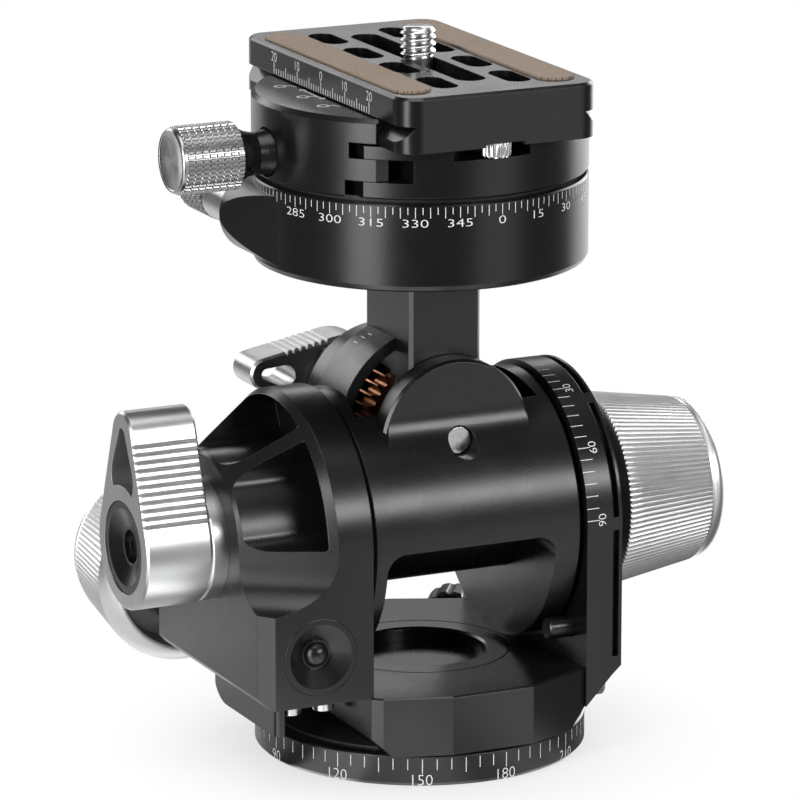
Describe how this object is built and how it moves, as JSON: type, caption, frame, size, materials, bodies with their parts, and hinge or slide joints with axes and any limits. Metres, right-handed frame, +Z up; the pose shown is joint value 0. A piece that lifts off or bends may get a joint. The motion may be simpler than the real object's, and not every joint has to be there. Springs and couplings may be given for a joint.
{
  "type": "geared tripod head",
  "caption": "Geared tripod head: panning base, cradle with worm-driven tilting barrel and rolling arm, panning drum with quick-release clamp and camera plate",
  "frame": {"origin": "centre of the tripod thread's mouth in the underside of the base", "axes": "+Z up along the tripod thread to the camera screw, -Y to the front of the head, +X towards the large right-hand knob on the tilt axis"},
  "size_m": [0.113, 0.0875, 0.1311],
  "materials": {
    "black_anodised": "satin black anodised",
    "silver_aluminium": "bead blasted and clear anodised",
    "steel": "machined",
    "bronze": "machined bronze",
    "chrome": "bright plated",
    "rubber": "matt with a fine grid",
    "washer_plastic": "matt"
  },
  "bodies": {
    "base": {"base_disc": "black_anodised", "tripod_bush": "steel", "pan_washer": "washer_plastic", "pan_retaining_ring": "black_anodised"},
    "frame": {"deck_plate": "black_anodised", "left_tower": "black_anodised", "right_upright": "black_anodised", "tower_screws": "steel", "upright_screws": "steel", "tilt_bush_left": "bronze", "tilt_bush_right": "bronze", "worm_1_bushes": "bronze", "worm_1_cap": "black_anodised", "worm_1_housing": "black_anodised", "lever_1_collar": "silver_aluminium", "stop_pin": "black_anodised"},
    "pan_lock": {"pan_lock_knob": "black_anodised", "pan_lock_screw": "steel"},
    "barrel": {"barrel": "black_anodised", "worm_wheel_1": "bronze", "wheel_1_nut": "steel", "tilt_nut": "black_anodised", "worm_2_bushes": "bronze", "pivot_pin": "steel", "lever_2_housing": "black_anodised"},
    "tilt_worm": {"worm_1": "steel", "knob_1": "silver_aluminium", "knob_1_cap": "silver_aluminium"},
    "roll_worm": {"worm_2": "steel", "knob_2": "silver_aluminium", "knob_2_cap": "silver_aluminium"},
    "tilt_lever": {"lever_1": "silver_aluminium", "lever_1_cap": "black_anodised"},
    "roll_lever": {"lever_2": "silver_aluminium", "lever_2_cap": "black_anodised"},
    "roll_arm": {"arm": "black_anodised", "arm_bushes": "bronze", "worm_wheel_2": "bronze", "wheel_2_screws": "steel", "roll_scale_arc": "black_anodised", "drum": "black_anodised", "arm_bolt": "steel", "pan_top_washer": "steel", "pan_top_ring": "washer_plastic", "worm_3_bushes": "bronze"},
    "pan_worm": {"worm_3": "steel", "knob_3": "silver_aluminium"},
    "pan_top": {"clamp_body": "black_anodised", "pan_gear": "bronze", "clamp_screw": "steel", "jaw_guide_pins": "steel"},
    "jaw": {"clamp_jaw": "black_anodised"},
    "clamp_knob": {"clamp_knob_hub": "black_anodised", "clamp_knob_sleeve": "silver_aluminium"},
    "plate": {"plate": "black_anodised", "rubber_strips": "rubber", "stop_screws": "steel"},
    "screw_washer": {"camera_screw_washer": "steel"},
    "camera_screw": {"camera_screw": "chrome"}
  },
  "joints": [
    {"name": "base_pan", "type": "hinge", "parent": "base", "child": "frame", "pos_m": [0, 0, 0.0115], "axis": [0, 0, 1], "continuous": true},
    {"name": "pan_lock_turn", "type": "hinge", "parent": "frame", "child": "pan_lock", "pos_m": [0.02013, 0.02985, 0.0106], "axis": [0.5592, 0.829, 0], "range_deg": [0, 270]},
    {"name": "tilt", "type": "hinge", "parent": "frame", "child": "barrel", "pos_m": [0, 0, 0.0426], "axis": [1, 0, 0], "range_deg": [-10, 90]},
    {"name": "tilt_worm_turn", "type": "hinge", "parent": "frame", "child": "tilt_worm", "pos_m": [-0.0312, 0.04, 0.0258], "axis": [0, 1, 0], "range_deg": [-3240, 360]},
    {"name": "tilt_lever_turn", "type": "hinge", "parent": "frame", "child": "tilt_lever", "pos_m": [-0.05, 0, 0.0426], "axis": [1, 0, 0], "range_deg": [-45, 0]},
    {"name": "roll", "type": "hinge", "parent": "barrel", "child": "roll_arm", "pos_m": [0, 0, 0.0594], "axis": [0, 1, 0], "range_deg": [-30, 30]},
    {"name": "roll_worm_turn", "type": "hinge", "parent": "barrel", "child": "roll_worm", "pos_m": [0.045, 0, 0.0426], "axis": [1, 0, 0], "range_deg": [-1080, 1080]},
    {"name": "roll_lever_turn", "type": "hinge", "parent": "barrel", "child": "roll_lever", "pos_m": [0, 0.037, 0.0594], "axis": [0, 1, 0], "range_deg": [0, 45]},
    {"name": "pan_worm_turn", "type": "hinge", "parent": "roll_arm", "child": "pan_worm", "pos_m": [-0.026, 0.03, 0.0978], "axis": [0, 1, 0], "continuous": true},
    {"name": "top_pan", "type": "hinge", "parent": "roll_arm", "child": "pan_top", "pos_m": [0, 0, 0.108], "axis": [0, 0, 1], "continuous": true},
    {"name": "jaw_slide", "type": "slide", "parent": "pan_top", "child": "jaw", "axis": [-1, 0, 0], "range_m": [0, 0.003]},
    {"name": "clamp_knob_turn", "type": "hinge", "parent": "jaw", "child": "clamp_knob", "pos_m": [-0.042, 0, 0.11125], "axis": [-1, 0, 0], "range_deg": [0, 2160]},
    {"name": "plate_slide", "type": "slide", "parent": "pan_top", "child": "plate", "axis": [0, 1, 0], "range_m": [-0.003, 0.003]},
    {"name": "camera_screw_slide", "type": "slide", "parent": "plate", "child": "screw_washer", "axis": [0, 1, 0], "range_m": [-0.0136, 0.0148]},
    {"name": "camera_screw_turn", "type": "hinge", "parent": "screw_washer", "child": "camera_screw", "pos_m": [0, 0.0009, 0.125], "axis": [0, 0, 1], "continuous": true}
  ],
  "couplings": [
    {"joint": "tilt_worm_turn", "follows": "tilt", "ratio": -36},
    {"joint": "roll_worm_turn", "follows": "roll", "ratio": 36},
    {"joint": "pan_worm_turn", "follows": "top_pan", "ratio": 90},
    {"joint": "clamp_knob_turn", "follows": "jaw_slide", "rad_per_m": 12566}
  ]
}
